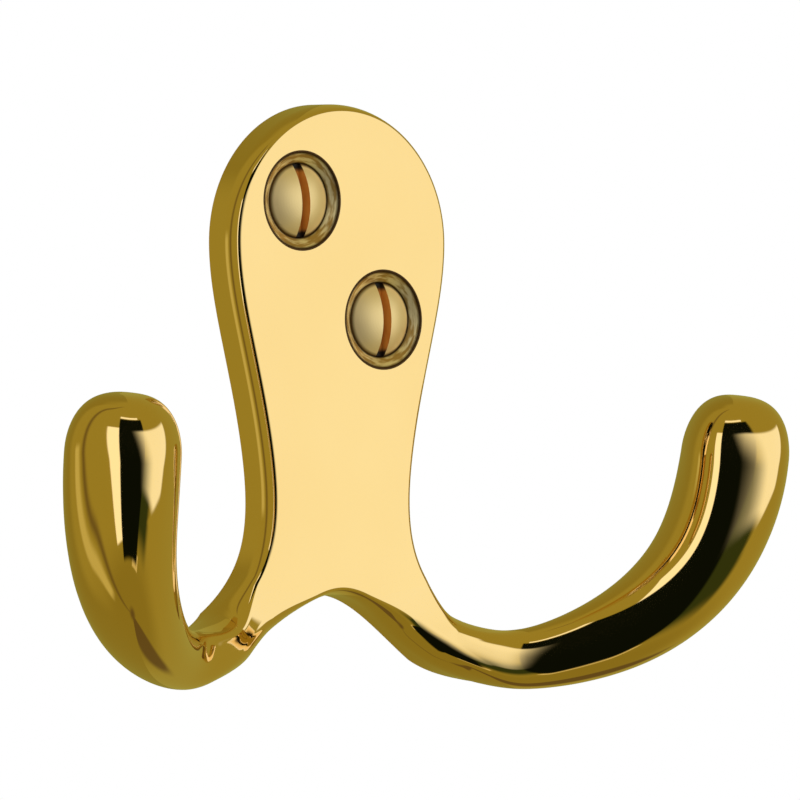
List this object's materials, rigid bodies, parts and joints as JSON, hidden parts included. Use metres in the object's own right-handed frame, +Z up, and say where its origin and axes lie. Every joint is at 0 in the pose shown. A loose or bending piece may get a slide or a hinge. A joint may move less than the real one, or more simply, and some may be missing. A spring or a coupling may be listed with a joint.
{
  "type": "double robe hook",
  "caption": "Polished brass wall hook: a rounded plate whose foot parts into two arms that curl forward and up to thumb-like tips, with slotted wood screws in dished seats.",
  "frame": {"origin": "on the plate's flat back, which lies on the wall, midway between the two screws", "axes": "+Z up the wall, +Y into the wall so that the front faces -Y, +X to the viewer's right"},
  "size_m": [0.082, 0.0283, 0.0529],
  "materials": {
    "polished_brass": "polished and lacquered",
    "screw_brass": "bright turned brass"
  },
  "bodies": {
    "root": {"hook_casting": "polished_brass", "screw_upper": "screw_brass", "screw_lower": "screw_brass"}
  },
  "joints": []
}
